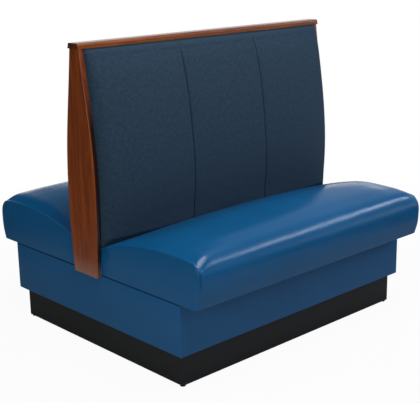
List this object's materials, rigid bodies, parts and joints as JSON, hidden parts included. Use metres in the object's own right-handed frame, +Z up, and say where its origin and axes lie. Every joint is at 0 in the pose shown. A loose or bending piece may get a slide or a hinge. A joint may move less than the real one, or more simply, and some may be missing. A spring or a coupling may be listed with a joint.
{
  "type": "restaurant booth seating",
  "caption": "Back-to-back restaurant booth with crowned vinyl seats, a channelled fabric back between stained wood ends, a wood cap and a covered base on a recessed toe kick.",
  "frame": {"origin": "on the floor under the middle of the booth", "axes": "+X along the booth's length, +Y towards the rear seat (the front seat faces -Y), +Z up"},
  "size_m": [1.1684, 1.1352, 1.074],
  "materials": {
    "stained_wood": "reddish-brown stain under satin lacquer",
    "plywood": "bare birch plywood",
    "hardwood": "bare planed hardwood",
    "black_laminate": "matt black laminate",
    "black_plastic": "moulded black plastic",
    "blue_vinyl": "smooth coated upholstery vinyl with a soft sheen",
    "navy_fabric": "matt woven upholstery fabric",
    "foam": "open-cell seating foam",
    "felt": "grey needled spring pad",
    "steel": "plain spring steel and zinc-plated screws"
  },
  "bodies": {
    "base": {"back_cover_front_left": "navy_fabric", "back_cover_front_middle": "navy_fabric", "back_cover_front_right": "navy_fabric", "back_cover_rear_left": "navy_fabric", "back_cover_rear_middle": "navy_fabric", "back_cover_rear_right": "navy_fabric", "back_foam_front": "foam", "back_foam_rear": "foam", "back_plywood_front": "plywood", "back_plywood_rear": "plywood", "back_rib_left_end": "plywood", "back_rib_left_middle": "plywood", "back_rib_right_end": "plywood", "back_rib_right_middle": "plywood", "back_top_rail": "plywood", "base_deck": "plywood", "base_partition_left": "plywood", "base_partition_right": "plywood", "cap_screws": "steel", "corner_glides": "black_plastic", "end_panel_left": "stained_wood", "end_panel_right": "stained_wood", "panel_screws": "steel", "plinth_corner_blocks": "plywood", "plinth_stretcher": "plywood", "rib_splice_plates": "plywood", "seat_keeper_front": "plywood", "seat_keeper_rear": "plywood", "skirt_board_front": "plywood", "skirt_board_left": "plywood", "skirt_board_rear": "plywood", "skirt_board_right": "plywood", "skirt_cover": "blue_vinyl", "toe_kick_front": "black_laminate", "toe_kick_left": "black_laminate", "toe_kick_rear": "black_laminate", "toe_kick_right": "black_laminate", "top_cap": "stained_wood"},
    "front_seat": {"front_seat_back_rail": "hardwood", "front_seat_cover": "blue_vinyl", "front_seat_edge_roll": "foam", "front_seat_felt": "felt", "front_seat_foam": "foam", "front_seat_front_rail": "hardwood", "front_seat_left_rail": "hardwood", "front_seat_right_rail": "hardwood", "front_seat_spring_clips": "steel", "front_seat_springs": "steel", "front_seat_tongues": "hardwood"},
    "rear_seat": {"rear_seat_back_rail": "hardwood", "rear_seat_cover": "blue_vinyl", "rear_seat_edge_roll": "foam", "rear_seat_felt": "felt", "rear_seat_foam": "foam", "rear_seat_front_rail": "hardwood", "rear_seat_left_rail": "hardwood", "rear_seat_right_rail": "hardwood", "rear_seat_spring_clips": "steel", "rear_seat_springs": "steel", "rear_seat_tongues": "hardwood"}
  },
  "joints": [
    {"name": "front_seat_slide", "type": "slide", "parent": "base", "child": "front_seat", "axis": [0, -1, 0], "range_m": [0, 0.09]},
    {"name": "rear_seat_slide", "type": "slide", "parent": "base", "child": "rear_seat", "axis": [0, 1, 0], "range_m": [0, 0.09]}
  ]
}
